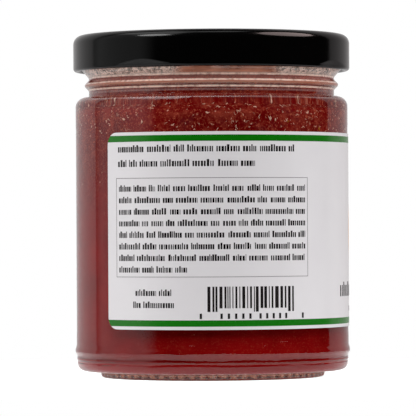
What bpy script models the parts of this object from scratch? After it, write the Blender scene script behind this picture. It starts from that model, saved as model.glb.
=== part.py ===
"""A straight-sided glass jar of red berry jam with a black twist-off metal lid and a wrap-round paper label.

Run it with: blender --background --python part.py
Units are metres, +Z is up, and the origin is the centre of the ring that the jar stands on.
The label's panel of small print faces -Y, so azimuth is counted from -Y, positive towards +X.
"""

import math

import bmesh
import bpy

MM = 0.001
FULL_TURN = 2 * math.pi

# Driving dimensions
BODY_RADIUS = 36.0 * MM
TOTAL_HEIGHT = 90.3 * MM
LID_RADIUS = 36.55 * MM
LID_HEIGHT = 9.6 * MM
LABEL_HEIGHT = 50.7 * MM
LABEL_LENGTH = 184.0 * MM
LABEL_BOTTOM = 13.3 * MM
LABEL_START = math.radians(-48)
JAM_LEVEL = 78.8 * MM

# Round pieces are turned in steps of 6 degrees
TURN_STEPS = 60

# What parts keep between them
CLEARANCE = 0.3 * MM
LABEL_THICKNESS = 0.18 * MM

# Glass: the panel that the label lies in, sunk so that the label comes flush
PANEL_RADIUS = 35.62 * MM
PANEL_MARGIN = 1.2 * MM
PANEL_SLOPE = 1.5 * MM

# Glass: the foot that it stands on, and the heel above it
FOOT_RADIUS = 29.5 * MM
FOOT_HEIGHT = 2.05 * MM
FOOT_ROUND = 0.8 * MM
FOOT_RING_INNER = 25.9 * MM
PUNT_RADIUS = 24.0 * MM
PUNT_HEIGHT = 1.5 * MM
HEEL_RADIUS = 35.84 * MM
HEEL_ROUND = 2.0 * MM

# Glass: the bead that keeps the label from rubbing
BEAD_LOW = 5.4 * MM
BEAD_HEIGHT = 7.05 * MM
BEAD_HIGH = 8.8 * MM
BEAD_RADIUS = 36.32 * MM

# Glass: shoulder, neck and finish
SHOULDER_TOP = 73.9 * MM
SHOULDER_ROUND = 2.65 * MM
NECK_RADIUS = 32.45 * MM
NECK_FILLET = 0.35 * MM
NECK_RING_HEIGHT = 77.05 * MM
NECK_RING_HALF = 1.65 * MM
NECK_RING_PROUD = 1.12 * MM
THREAD_HEIGHT = 81.1 * MM
THREAD_HALF = 2.2 * MM
THREAD_PROUD = 1.6 * MM
RIM_TOP = 89.0 * MM
RIM_ROUND = 0.9 * MM

# Glass: the inside
INNER_RADIUS = 33.0 * MM
INNER_BOTTOM = 3.6 * MM
INNER_BOTTOM_ROUND = 3.5 * MM
INNER_NECK_RADIUS = 29.3 * MM
INNER_NECK_START = 73.0 * MM
INNER_SHOULDER_ROUND = 2.5 * MM

# Lid: the sheet's corner and panel, and the curl along its lower edge
LID_CORNER = 2.4 * MM
LID_PANEL_RADIUS = 28.6 * MM
LID_PANEL_STEP = 0.6 * MM
LID_PANEL_SLOPE = 0.9 * MM
LID_BUTTON_RADIUS = 9.5 * MM
LID_BUTTON_SLOPE = 1.2 * MM
LID_BUTTON_RISE = 0.3 * MM
LID_WALL = 0.45 * MM
LID_INSIDE_TOP = RIM_TOP + CLEARANCE
CURL_RADIUS = 0.85 * MM

# Lid: four lugs are pressed in from outside
LUG_COUNT = 4
LUG_FIRST = math.radians(-29.4)
LUG_HALF_ANGLE = math.radians(12)
LUG_DEPTH = 0.5 * MM
LUG_HEIGHT = 2.0 * MM
LUG_ROWS = 3

# Jam: its top is a little uneven
JAM_SWELL = 0.35 * MM
JAM_TOP_RINGS = 5

# Label: its corners are cut round
LABEL_CORNER = 2.4 * MM
LABEL_CORNER_STEPS = 5


def clear_scene():
    for obj in list(bpy.data.objects):
        bpy.data.objects.remove(obj)


def arc(centre, radius, start, end, steps):
    """Points on a round stretch of a profile, as (radius, height), from one angle to another in degrees."""
    angles = (math.radians(start + (end - start) * i / steps) for i in range(steps + 1))
    return [(centre[0] + radius * math.cos(a), centre[1] + radius * math.sin(a)) for a in angles]


def bump(base, middle, half, proud, steps):
    """A rounded ring on an upright wall, from bottom to top: half a cosine wave."""
    points = []
    for i in range(steps + 1):
        along = -1 + 2 * i / steps
        out = proud * (1 + math.cos(math.pi * along)) / 2
        points.append((base + out, middle + half * along))
    return points


def ease(start, end, steps):
    """A soft slope from one point of a profile to another, upright at both ends: half a cosine wave."""
    points = []
    for i in range(steps + 1):
        share = i / steps
        out = (1 - math.cos(math.pi * share)) / 2
        points.append((start[0] + (end[0] - start[0]) * out, start[1] + (end[1] - start[1]) * share))
    return points


def label_panel():
    """The sunk panel for the label, from bottom to top, with a slope at both ends."""
    low = LABEL_BOTTOM - PANEL_MARGIN
    high = LABEL_BOTTOM + LABEL_HEIGHT + PANEL_MARGIN
    return [
        (BODY_RADIUS, low - PANEL_SLOPE),
        (PANEL_RADIUS, low),
        (PANEL_RADIUS, high),
        (BODY_RADIUS, high + PANEL_SLOPE),
    ]


def glass_outside():
    """The outside of the jar from the middle of its base up to the top of its rim."""
    foot_in = FOOT_RING_INNER + FOOT_ROUND
    foot_out = FOOT_RADIUS - FOOT_ROUND
    heel = (HEEL_RADIUS - HEEL_ROUND, FOOT_HEIGHT + HEEL_ROUND)
    shoulder = (BODY_RADIUS - SHOULDER_ROUND, SHOULDER_TOP - SHOULDER_ROUND)
    neck_corner = (NECK_RADIUS + NECK_FILLET, SHOULDER_TOP + NECK_FILLET)
    rim = (NECK_RADIUS - RIM_ROUND, RIM_TOP - RIM_ROUND)
    points = [(0, PUNT_HEIGHT), (PUNT_RADIUS, PUNT_HEIGHT)]
    points += arc((foot_in, FOOT_ROUND), FOOT_ROUND, 180, 270, 3)
    points += arc((foot_out, FOOT_ROUND), FOOT_ROUND, -90, 0, 3)
    points += [(FOOT_RADIUS, FOOT_HEIGHT)]
    points += arc(heel, HEEL_ROUND, -90, 0, 5)
    points += ease((HEEL_RADIUS, BEAD_LOW), (BEAD_RADIUS, BEAD_HEIGHT), 3)
    points += ease((BEAD_RADIUS, BEAD_HEIGHT), (BODY_RADIUS, BEAD_HIGH), 3)[1:]
    points += label_panel()
    points += arc(shoulder, SHOULDER_ROUND, 0, 90, 6)
    points += arc(neck_corner, NECK_FILLET, 270, 180, 2)
    points += bump(NECK_RADIUS, NECK_RING_HEIGHT, NECK_RING_HALF, NECK_RING_PROUD, 6)
    points += bump(NECK_RADIUS, THREAD_HEIGHT, THREAD_HALF, THREAD_PROUD, 6)
    points += arc(rim, RIM_ROUND, 0, 90, 3)
    return points


def glass_inside(shrink=0.0):
    """The inside from the middle of its bottom up to the neck's straight part, moved in by shrink."""
    wall = INNER_RADIUS - shrink
    bottom = INNER_BOTTOM + shrink
    neck = INNER_NECK_RADIUS - shrink
    side = INNER_BOTTOM_ROUND - shrink
    turn = math.degrees(math.acos(1 - (INNER_RADIUS - INNER_NECK_RADIUS) / (2 * INNER_SHOULDER_ROUND)))
    rise = INNER_SHOULDER_ROUND * math.sin(math.radians(turn))
    lower = (wall - INNER_SHOULDER_ROUND, INNER_NECK_START - shrink - 2 * rise)
    upper = (neck + INNER_SHOULDER_ROUND, INNER_NECK_START - shrink)
    points = [(0, bottom)]
    points += arc((wall - side, bottom + side), side, -90, 0, 4)
    points += arc(lower, INNER_SHOULDER_ROUND, 0, turn, 3)
    points += arc(upper, INNER_SHOULDER_ROUND, 180 + turn, 180, 3)[1:]
    return points


def glass_profile():
    """One closed line round the glass, outside up and inside down."""
    mouth = [(INNER_NECK_RADIUS, RIM_TOP - RIM_ROUND), (INNER_NECK_RADIUS + RIM_ROUND, RIM_TOP)]
    return glass_outside() + mouth[::-1] + glass_inside()[::-1]


def lid_profile():
    """One closed line round the lid's sheet: its top and outside down, round the curl, and its inside up."""
    bottom = TOTAL_HEIGHT - LID_HEIGHT
    panel = TOTAL_HEIGHT - LID_PANEL_STEP
    corner = (LID_RADIUS - LID_CORNER, TOTAL_HEIGHT - LID_CORNER)
    curl = (LID_RADIUS - CURL_RADIUS, bottom + CURL_RADIUS)
    inner_wall = LID_RADIUS - LID_WALL
    points = [
        (0, panel + LID_BUTTON_RISE),
        (LID_BUTTON_RADIUS, panel + LID_BUTTON_RISE),
        (LID_BUTTON_RADIUS + LID_BUTTON_SLOPE, panel),
        (LID_PANEL_RADIUS, panel),
        (LID_PANEL_RADIUS + LID_PANEL_SLOPE, TOTAL_HEIGHT),
    ]
    points += arc(corner, LID_CORNER, 90, 0, 6)
    rows = [curl[1] + (LUG_HEIGHT - CURL_RADIUS) * row / LUG_ROWS for row in range(LUG_ROWS, 0, -1)]
    points += [(LID_RADIUS, row) for row in rows]
    points += arc(curl, CURL_RADIUS, 0, -180, 6)
    points += [(inner_wall, curl[1] + 2 * CURL_RADIUS), (inner_wall, LID_INSIDE_TOP - LID_CORNER / 2)]
    points += [(inner_wall - LID_CORNER / 2, LID_INSIDE_TOP), (0, LID_INSIDE_TOP)]
    return points


def turned(profile):
    """A mesh made by turning a profile of (radius, height) points about the upright axis."""
    shape = bmesh.new()
    corners = [shape.verts.new((radius, 0, height)) for radius, height in profile]
    edges = [shape.edges.new(pair) for pair in zip(corners, corners[1:])]
    bmesh.ops.spin(
        shape,
        geom=corners + edges,
        cent=(0, 0, 0),
        axis=(0, 0, 1),
        angle=FULL_TURN,
        steps=TURN_STEPS,
        use_merge=True,
    )
    bmesh.ops.remove_doubles(shape, verts=shape.verts, dist=0.001 * MM)
    bmesh.ops.recalc_face_normals(shape, faces=shape.faces)
    return shape


def azimuth(point):
    """The angle of a point round the jar, from -Y towards +X."""
    return math.atan2(point.x, -point.y)


def press_lugs(shape):
    """Slopes the skirt in below an arch at each lug, deepest at the curl, whose inner side stays put."""
    curl_height = TOTAL_HEIGHT - LID_HEIGHT + CURL_RADIUS
    curl_inside = LID_RADIUS - 2 * CURL_RADIUS
    for vertex in shape.verts:
        point = vertex.co
        radius = math.hypot(point.x, point.y)
        if radius <= curl_inside:
            continue
        from_first = (azimuth(point) - LUG_FIRST) % (FULL_TURN / LUG_COUNT)
        away = min(from_first, FULL_TURN / LUG_COUNT - from_first) / LUG_HALF_ANGLE
        above = max(0.0, point.z - curl_height) / (LUG_HEIGHT - CURL_RADIUS)
        arch = math.cos(math.pi * min(1.0, away) / 2) ** 2
        depth = LUG_DEPTH * max(0.0, arch - above) * (radius - curl_inside) / (2 * CURL_RADIUS)
        point.x *= (radius - depth) / radius
        point.y *= (radius - depth) / radius


def jam_profile():
    """The jam inside the glass, from the middle of its bottom, up its side and back along its top."""
    side = glass_inside(CLEARANCE)
    edge = INNER_NECK_RADIUS - CLEARANCE
    top = [(edge * (1 - i / JAM_TOP_RINGS), JAM_LEVEL) for i in range(JAM_TOP_RINGS + 1)]
    return side + top


def swell_top(shape):
    """Gives the jam's flat top the low swells of a set fruit jam; its rim stays level."""
    rim = INNER_NECK_RADIUS - CLEARANCE
    for vertex in shape.verts:
        point = vertex.co
        if point.z < JAM_LEVEL - 0.001 * MM:
            continue
        out = math.hypot(point.x, point.y) / rim
        turn = azimuth(point)
        wave = math.sin(2 * turn + 0.7) * out + 0.6 * math.cos(3 * turn - 5 * out)
        point.z += JAM_SWELL * wave * (1 - out * out)


def label_columns():
    """Distances along the label where it is bent: its cut corners, and every facet of the glass under it."""
    radius = PANEL_RADIUS + CLEARANCE
    corner = [LABEL_CORNER * (1 - math.cos(math.pi / 2 * i / LABEL_CORNER_STEPS)) for i in range(LABEL_CORNER_STEPS + 1)]
    columns = set(corner) | {LABEL_LENGTH - place for place in corner}
    facet = FULL_TURN / TURN_STEPS
    first = math.ceil(LABEL_START / facet)
    last = math.floor((LABEL_START + LABEL_LENGTH / radius) / facet)
    columns |= {(i * facet - LABEL_START) * radius for i in range(first, last + 1)}
    ordered = sorted(columns)
    kept = ordered[:1]
    for place in ordered[1:]:
        if place - kept[-1] > 0.05 * MM:
            kept.append(place)
    return kept


def label_inset(place):
    """How far the cut corners bring the label's upper and lower edge in, at a distance along it."""
    near_end = min(place, LABEL_LENGTH - place)
    if near_end >= LABEL_CORNER:
        return 0.0
    return LABEL_CORNER - math.sqrt(max(0.0, LABEL_CORNER**2 - (LABEL_CORNER - near_end) ** 2))


def label_mesh():
    """The paper label: a strip of upright quads bent round the glass, then given its thickness outwards."""
    shape = bmesh.new()
    inner = PANEL_RADIUS + CLEARANCE
    outer = inner + LABEL_THICKNESS
    loops = []
    for place in label_columns():
        turn = LABEL_START + place / inner
        inset = label_inset(place)
        low = LABEL_BOTTOM + inset
        high = LABEL_BOTTOM + LABEL_HEIGHT - inset
        corners = ((inner, low), (outer, low), (outer, high), (inner, high))
        loops.append([shape.verts.new((r * math.sin(turn), -r * math.cos(turn), z)) for r, z in corners])
    for loop, after in zip(loops, loops[1:]):
        for i in range(4):
            j = (i + 1) % 4
            shape.faces.new((loop[i], loop[j], after[j], after[i]))
    shape.faces.new(loops[0])
    shape.faces.new(loops[-1])
    bmesh.ops.recalc_face_normals(shape, faces=shape.faces)
    return shape


def material(name, colour, roughness, transmission=0.0, coat=0.0):
    made = bpy.data.materials.new(name)
    made.use_nodes = True
    surface = made.node_tree.nodes["Principled BSDF"]
    surface.inputs["Base Color"].default_value = (*colour, 1)
    surface.inputs["Roughness"].default_value = roughness
    surface.inputs["Transmission Weight"].default_value = transmission
    surface.inputs["Coat Weight"].default_value = coat
    made.diffuse_color = (*colour, 1)
    return made


def place(name, shape, finish, smooth_under=30):
    """Makes a named object of a mesh, shaded smooth except along its sharp edges."""
    mesh = bpy.data.meshes.new(name)
    shape.to_mesh(mesh)
    shape.free()
    mesh.materials.append(finish)
    mesh.shade_smooth()
    mesh.set_sharp_from_angle(angle=math.radians(smooth_under))
    obj = bpy.data.objects.new(name, mesh)
    bpy.context.scene.collection.objects.link(obj)
    return obj


def make_glass():
    glass = material("flint_glass", (0.95, 0.96, 0.95), 0.02, transmission=1.0)
    place("glass_jar", turned(glass_profile()), glass)


def make_lid():
    lacquer = material("black_lacquered_tinplate", (0.006, 0.006, 0.006), 0.12, coat=1.0)
    shape = turned(lid_profile())
    press_lugs(shape)
    place("lid", shape, lacquer)


def make_jam():
    fruit = material("red_berry_jam", (0.16, 0.008, 0.006), 0.15)
    shape = turned(jam_profile())
    swell_top(shape)
    place("jam", shape, fruit)


def make_label():
    paper = material("coated_label_paper", (0.74, 0.73, 0.74), 0.45)
    place("label", label_mesh(), paper)


clear_scene()
make_glass()
make_lid()
make_jam()
make_label()
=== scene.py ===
# %% [markdown]
# # A jar of red berry jam
# This lesson dresses a jar whose solid parts are already built: a glass jar, its jam, a paper label and
# a twist-off lid. The solids are faceted and plain, so each one is replaced by a finer piece of the same
# size, and each finer piece gets a material that starts from what the real one is made of.
# The first cell loads the solids. Everything is in metres, +Z is up, and -Y is the side that we look at.

# %% Load the frame
import math
import random

import bmesh
import bpy
import numpy as np
from mathutils import Matrix, Vector


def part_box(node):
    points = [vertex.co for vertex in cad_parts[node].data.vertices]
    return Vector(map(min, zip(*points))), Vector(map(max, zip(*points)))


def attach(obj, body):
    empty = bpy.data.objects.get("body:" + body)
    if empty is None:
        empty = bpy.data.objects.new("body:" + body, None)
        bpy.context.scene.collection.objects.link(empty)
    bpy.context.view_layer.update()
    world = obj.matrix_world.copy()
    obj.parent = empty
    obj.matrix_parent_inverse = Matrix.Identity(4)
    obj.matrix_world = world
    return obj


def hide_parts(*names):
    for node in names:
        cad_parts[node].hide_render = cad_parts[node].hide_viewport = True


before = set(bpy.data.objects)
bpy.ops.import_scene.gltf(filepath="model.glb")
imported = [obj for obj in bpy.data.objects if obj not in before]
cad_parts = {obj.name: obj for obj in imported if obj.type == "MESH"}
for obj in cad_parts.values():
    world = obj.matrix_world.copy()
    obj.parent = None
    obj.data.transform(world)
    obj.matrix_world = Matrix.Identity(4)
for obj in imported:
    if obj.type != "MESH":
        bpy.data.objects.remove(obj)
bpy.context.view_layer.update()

print("nodes:", sorted(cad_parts))

# %% [markdown]
# Every size below comes from the boxes of the loaded solids, or is a real size in millimetres. A box
# holds a lowest and a highest corner, so a round part's radius is half of its box's width.

# %% Sizes from the frame
MM = 0.001
FULL_TURN = 2 * math.pi


def radius_of(node):
    low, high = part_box(node)
    return (high.x - low.x) / 2


GLASS_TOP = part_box("glass_jar")[1].z
LID_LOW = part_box("lid")[0].z
LID_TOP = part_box("lid")[1].z
LID_RADIUS = radius_of("lid")
LABEL_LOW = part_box("label")[0].z
LABEL_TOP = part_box("label")[1].z
JAM_CROWN = 0.25 * MM
JAM_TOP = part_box("jam")[1].z - JAM_CROWN
BODY_RADIUS = 36.0 * MM
print(f"lid radius {LID_RADIUS / MM:.2f} mm, label from {LABEL_LOW / MM:.1f} to {LABEL_TOP / MM:.1f} mm up")

# %% [markdown]
# A few helpers serve the whole file. Colours are picked as sRGB hex values, as a paint program shows
# them, and one function turns them to the linear values that the renderer works with. Another function
# adds a node to any tree with its settings and its links, and the rest are built on that one.

# %% Helpers for colours and nodes
def linear(code):
    """An sRGB hex colour as linear red, green, blue and alpha."""
    parts = [int(code[i:i + 2], 16) / 255 for i in (1, 3, 5)]
    return [p / 12.92 if p <= 0.04045 else ((p + 0.055) / 1.055) ** 2.4 for p in parts] + [1.0]


def add(tree, kind, settings=None, inputs=None):
    """A new node in a tree. An input that is given a socket is linked to it, and any other is set."""
    node = tree.nodes.new(kind)
    for name, value in (settings or {}).items():
        setattr(node, name, value)
    for name, value in (inputs or {}).items():
        if isinstance(value, bpy.types.NodeSocket):
            tree.links.new(value, node.inputs[name])
        else:
            node.inputs[name].default_value = value
    return node


def new_material(name):
    """An empty material, its tree, and the place on the piece that its patterns read, in metres."""
    made = bpy.data.materials.new(name)
    made.use_nodes = True
    made.node_tree.nodes.clear()
    return made, made.node_tree, add(made.node_tree, "ShaderNodeTexCoord").outputs["Object"]


def show(tree, shader):
    """Joins a shader to the material's output."""
    add(tree, "ShaderNodeOutputMaterial", None, {"Surface": shader.outputs[0]})


def principled(tree, inputs):
    return add(tree, "ShaderNodeBsdfPrincipled", None, inputs)


def mix_colour(tree, factor, first, second):
    """A blend of two colours."""
    return add(tree, "ShaderNodeMix", {"data_type": "RGBA"}, {0: factor, 6: first, 7: second}).outputs[2]


def mix_shaders(tree, factor, first, second):
    return add(tree, "ShaderNodeMixShader", None, {0: factor, 1: first.outputs[0], 2: second.outputs[0]})


def maths(tree, operation, first, second=0.0, third=0.0):
    """The result of one calculation in a tree."""
    return add(tree, "ShaderNodeMath", {"operation": operation}, {0: first, 1: second, 2: third}).outputs[0]


def noise(tree, place, size, detail=3.0, roughness=0.5, distortion=0.0):
    """A noise pattern whose blotches are about that many metres across."""
    return add(tree, "ShaderNodeTexNoise", None, {
        "Vector": place,
        "Scale": 1 / size,
        "Detail": detail,
        "Roughness": roughness,
        "Distortion": distortion,
    }).outputs["Fac"]


def remap(tree, value, low, high, to_low=0.0, to_high=1.0):
    """A value stretched from one range to another, and held inside it."""
    levels = {"Value": value, "From Min": low, "From Max": high, "To Min": to_low, "To Max": to_high}
    return add(tree, "ShaderNodeMapRange", {"clamp": True}, levels).outputs[0]


def between(tree, value, low, high, soft):
    """One between two levels and nought outside them, with soft ends."""
    rising = remap(tree, value, low - soft, low + soft)
    falling = remap(tree, value, high - soft, high + soft, 1.0, 0.0)
    return maths(tree, "MULTIPLY", rising, falling)


def stretched(tree, place, x, y, z):
    """A place scaled along each axis, which stretches a pattern the other way round."""
    return add(tree, "ShaderNodeVectorMath", {"operation": "MULTIPLY"}, {0: place, 1: (x, y, z)}).outputs[0]


def bumped(tree, relief, strength, distance):
    """The normal of a surface with a low relief."""
    settings = {"Strength": strength, "Distance": distance, "Height": relief}
    return add(tree, "ShaderNodeBump", None, settings).outputs[0]


# %% [markdown]
# Nearly everything on a jar is turned. A turned piece is a line of points, each a distance from the axis
# and a height, swept once round. The line runs with the material on its left, so that all faces point
# outwards: along the bottom, up the outside, and back down the inside.

# %% Turned shapes
ON_AXIS = 1e-7


def arc(centre, radius, start, end, steps):
    """Points on a round stretch of a profile, from one angle to another in degrees."""
    angles = (math.radians(start + (end - start) * i / steps) for i in range(steps + 1))
    return [(centre[0] + radius * math.cos(a), centre[1] + radius * math.sin(a)) for a in angles]


def half_wave(share):
    """Half a cosine wave, which climbs from nought to one and is level at both ends."""
    return (1 - math.cos(math.pi * share)) / 2


def bump(base, middle, half, proud, steps=14):
    """A rounded ring on an upright wall, from bottom to top."""
    along = [-1 + 2 * i / steps for i in range(steps + 1)]
    return [(base + proud * (1 + math.cos(math.pi * a)) / 2, middle + half * a) for a in along]


def ease(start, end, steps=8):
    """A soft slope between two points, upright at both ends."""
    wide = end[0] - start[0]
    tall = end[1] - start[1]
    shares = [i / steps for i in range(steps + 1)]
    return [(start[0] + wide * half_wave(share), start[1] + tall * share) for share in shares]


def soft_step(start, end, first, last, steps=8):
    """A step in a flat top, from one distance and height to another, eased at both ends."""
    shares = [i / steps for i in range(steps + 1)]
    return [(start + (end - start) * share, first + (last - first) * half_wave(share)) for share in shares]


def straight(start, end, steps):
    """Evenly spaced points between two points, both left out."""
    return [tuple(a + (b - a) * i / steps for a, b in zip(start, end)) for i in range(1, steps)]


def new_piece(name, points, faces, *materials):
    """An object with a mesh of these points and faces."""
    mesh = bpy.data.meshes.new(name)
    mesh.from_pydata(points, [], faces)
    mesh.validate()
    for material in materials:
        mesh.materials.append(material)
    piece = bpy.data.objects.new(name, mesh)
    bpy.context.scene.collection.objects.link(piece)
    return piece


def turn(name, profile, columns, *materials):
    """A profile swept round the upright axis, with a fan of triangles where it meets the axis."""
    turns = np.arange(columns) * FULL_TURN / columns
    points = []
    rings = []
    for radius, height in profile:
        first = len(points)
        if radius < ON_AXIS:
            points.append((0.0, 0.0, height))
            rings.append([first] * columns)
        else:
            points += [(radius * math.sin(t), -radius * math.cos(t), height) for t in turns]
            rings.append(list(range(first, first + columns)))
    faces = []
    for low, high in zip(rings, rings[1:]):
        for j in range(columns):
            k = (j + 1) % columns
            corners = [low[j], low[k], high[k], high[j]]
            faces.append(list(dict.fromkeys(corners)))
    piece = new_piece(name, points, faces, *materials)
    piece.data.shade_smooth()
    return piece


def finish_piece(piece, slot, *nodes):
    """Hangs a piece on the root body and hides the CAD nodes that it stands for. The slot is not used."""
    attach(piece, "root")
    if nodes:
        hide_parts(*nodes)
    print(f"{piece.name}: {len(piece.data.polygons)} faces")


# %% [markdown]
# ## Camera
# The photograph was taken from nearly a metre away with a long lens, level with the middle of the jar.
# A lens that long keeps the sides of the jar almost parallel. The camera leans a third of a degree.

# %% Camera
CAMERA_DISTANCE = 952 * MM
EYE_HEIGHT = 39.7 * MM
AIM = Vector((-1.07 * MM, 0, 44.6 * MM))
LENS = 310.9
SENSOR = 36.0
LEAN = math.radians(0.3)
NEAREST = 50 * MM

camera_data = bpy.data.cameras.new("camera")
camera_data.lens = LENS
camera_data.sensor_width = SENSOR
camera_data.clip_start = NEAREST
camera = bpy.data.objects.new("camera", camera_data)
camera.location = (0, -CAMERA_DISTANCE, EYE_HEIGHT)
camera.rotation_euler = (AIM - camera.location).to_track_quat("-Z", "Y").to_euler()
camera.rotation_euler.rotate_axis("Z", -LEAN)
bpy.context.scene.collection.objects.link(camera)
bpy.context.scene.camera = camera

# %% [markdown]
# ## Clear glass
# The jar is soda-lime glass, pressed in an iron mould and fire polished. Clear glass refracts light by
# 1.52, it has no colour of its own in a thin wall, and the mould leaves it very slightly wavy. Light
# reaches what stands behind the glass, which a renderer finds slow to work out, so shadow and diffuse
# rays pass straight through.
#
# Two things make real jar glass less than clear, and both scatter light. Above the jam the pressed neck
# is hazy with chill marks from the cold mould, and near the mould's two seams it shows crazing, small
# wrinkles whose glints are painted in as white specks. And where jars rub on each other, on the lid or
# on a belt, which is on every crest and groove of the neck and on the knurls of the foot, the glass is
# scuffed, and there its highlights are painted in as pale scuffs.

# %% Material: clear glass
GLASS_WAVE = 7.0 * MM
CHILL_LOW = 78.9 * MM
CHILL_HIGH = 79.5 * MM
WRINKLE_SIZE = 1.0 * MM
STREAK_SIZE = 1.6 * MM
CRAZE_GLINT_MIDDLE = 4.0 * MM
CRAZE_GLINT_FROM = 11.0 * MM
CRAZE_GLINT_TO = 14.0 * MM


def chill_haze_and_painted_glints(tree, place, height):
    """How much the chilled neck scatters, its wrinkles, and where it is hazy rather than showing crazing
    with painted glints.
    """
    wrinkles = noise(tree, place, WRINKLE_SIZE, detail=4.0, roughness=0.7, distortion=1.0)
    across = add(tree, "ShaderNodeSeparateXYZ", None, {0: place}).outputs["X"]
    from_middle = maths(tree, "ABSOLUTE", maths(tree, "SUBTRACT", across, CRAZE_GLINT_MIDDLE))
    craze_glints = remap(tree, from_middle, CRAZE_GLINT_FROM, CRAZE_GLINT_TO)
    # White specks where the neck shows crazing: painted glints of light.
    painted_glints = remap(tree, wrinkles, 0.46, 0.53, 0.05, 1.0)
    streaks = noise(tree, stretched(tree, place, 0.25, 0.25, 1.0), STREAK_SIZE, detail=3.0)
    haze_and_glow = remap(tree, streaks, 0.35, 0.65, 0.26, 0.62)
    scatter = maths(tree, "MULTIPLY_ADD", maths(tree, "SUBTRACT", painted_glints, haze_and_glow), craze_glints, haze_and_glow)
    above = remap(tree, height, CHILL_LOW, CHILL_HIGH)
    hazy = maths(tree, "MULTIPLY", above, maths(tree, "SUBTRACT", 1.0, craze_glints))
    return maths(tree, "MULTIPLY", scatter, above), maths(tree, "MULTIPLY", wrinkles, above), hazy


# %% [markdown]
# The scuffs of the neck lie in thin level lines where it touches its neighbours, and they are painted
# pale to stand for its highlights. The ring is painted a warm pink and the groove above it a clear red,
# a painted glow for the light that has been through the jam.

# %% Scuffs and painted light of the neck
# The height of each line in mm, its half width in mm and its strength
SCUFF_HIGHLIGHT_LINES = (
    (72.95, 0.3, 0.1),
    (74.95, 0.4, 0.12),
    (75.8, 0.38, 1.0),
    (77.4, 0.4, 0.9),
    (78.9, 0.46, 1.0),
)
SCUFF_HIGHLIGHT_CORE = 0.1 * MM
SCUFF_HIGHLIGHT_SIZE = 1.3 * MM
TINTED_LOW = 74.3 * MM
RING_LOW = 76.4 * MM
RING_HIGH = 78.9 * MM
RING_SOFT = 0.2 * MM
RING_PAINTED_GLOW = 0.34
GROOVE_PAINTED_GLOW = 0.2
GROOVE_FROM = 77.35 * MM
GROOVE_TO = 77.85 * MM
NECK_OUTSIDE = (31.4 * MM, 31.8 * MM)


def neck_scuffs_and_painted_light(tree, place, height, out):
    """How much the scuff lines with their painted highlights, and the ring with its painted glow, scatter,
    and in what colour.
    """
    scuff_breakup = noise(tree, place, SCUFF_HIGHLIGHT_SIZE, detail=4.0, roughness=0.7)
    lines = 0.0
    # Each level line is a pale scuff painted bright to stand for a highlight: painted highlight.
    for line, half, strength in SCUFF_HIGHLIGHT_LINES:
        away = maths(tree, "ABSOLUTE", maths(tree, "SUBTRACT", height, line * MM))
        lines = maths(tree, "MAXIMUM", lines, remap(tree, away, SCUFF_HIGHLIGHT_CORE, half * MM, strength, 0.0))
    lines = maths(tree, "MULTIPLY", lines, remap(tree, scuff_breakup, 0.36, 0.56, 0.55, 1.0))
    # The ring and the groove above it get a painted glow, pink and red, for light that has been through the
    # jam.
    ring = between(tree, height, RING_LOW, RING_HIGH, RING_SOFT)
    in_groove = remap(tree, height, GROOVE_FROM, GROOVE_TO)
    haze_and_glow = maths(tree, "MULTIPLY", ring, remap(tree, in_groove, 0.0, 1.0, RING_PAINTED_GLOW, GROOVE_PAINTED_GLOW))
    scatter = maths(tree, "MAXIMUM", lines, haze_and_glow)
    scatter = maths(tree, "MULTIPLY", scatter, remap(tree, out, *NECK_OUTSIDE))
    ring_colour = mix_colour(tree, in_groove, linear("#ffad8e"), linear("#ff7959"))
    tinted = between(tree, height, TINTED_LOW, RING_HIGH, RING_SOFT)
    ring_share = maths(tree, "MULTIPLY", tinted, remap(tree, lines, 0.25, 0.6, 1.0, 0.0))
    return scatter, mix_colour(tree, ring_share, linear("#ffdccd"), ring_colour)


# %% [markdown]
# The foot is scuffed on its knurls, and the pale scuffs are painted bright to stand for their highlights.
# Along its lower edge a red glow is painted, for the light that comes through the jam and the base.
# Between two knurls the glass stays clear, so the scuffs follow the same count of knurls that shapes the
# foot further down.

# %% Scuffs and painted light of the foot
KNURL_COUNT = 68
KNURL_GAP_LOW = 0.5 * MM
KNURL_GAP_HIGH = 1.0 * MM
KNURL_GAP_SOFT = 0.12 * MM
FOOT_MARKS_LOW = 0.1 * MM
FOOT_MARKS_HIGH = 1.75 * MM
FOOT_MARKS_SOFT = 0.15 * MM
FOOT_PAINTED_GLOW_EDGE = (0.4 * MM, 0.6 * MM)
FOOT_OUTSIDE = (27.5 * MM, 28.0 * MM)
FOOT_BREAKUP_SIZE = 0.45 * MM


def foot_scuffs_and_painted_light(tree, place, height, out):
    """How much the scuffed knurls of the foot scatter, pale as a painted highlight and red as a painted glow
    at the lower edge, and in what colour.
    """
    parts = add(tree, "ShaderNodeSeparateXYZ", None, {0: place})
    angle = maths(tree, "ARCTAN2", parts.outputs["Y"], parts.outputs["X"])
    crest = maths(tree, "COSINE", maths(tree, "MULTIPLY", angle, float(KNURL_COUNT)))
    gap = between(tree, height, KNURL_GAP_LOW, KNURL_GAP_HIGH, KNURL_GAP_SOFT)
    gap = maths(tree, "MULTIPLY", gap, remap(tree, crest, -0.8, 0.3, 1.0, 0.0))
    foot_breakup = noise(tree, place, FOOT_BREAKUP_SIZE, detail=3.0, roughness=0.7)
    scatter = between(tree, height, FOOT_MARKS_LOW, FOOT_MARKS_HIGH, FOOT_MARKS_SOFT)
    scatter = maths(tree, "MULTIPLY", scatter, remap(tree, gap, 0.0, 1.0, 0.42, 0.03))
    scatter = maths(tree, "MULTIPLY", scatter, remap(tree, foot_breakup, 0.42, 0.56, 0.25, 1.0))
    scatter = maths(tree, "MULTIPLY", scatter, remap(tree, out, *FOOT_OUTSIDE))
    # Red low down is a painted glow of light from below; the pale above is the scuffs' painted highlight.
    return scatter, mix_colour(tree, remap(tree, height, *FOOT_PAINTED_GLOW_EDGE), linear("#e0523a"), linear("#f4ad92"))


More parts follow.
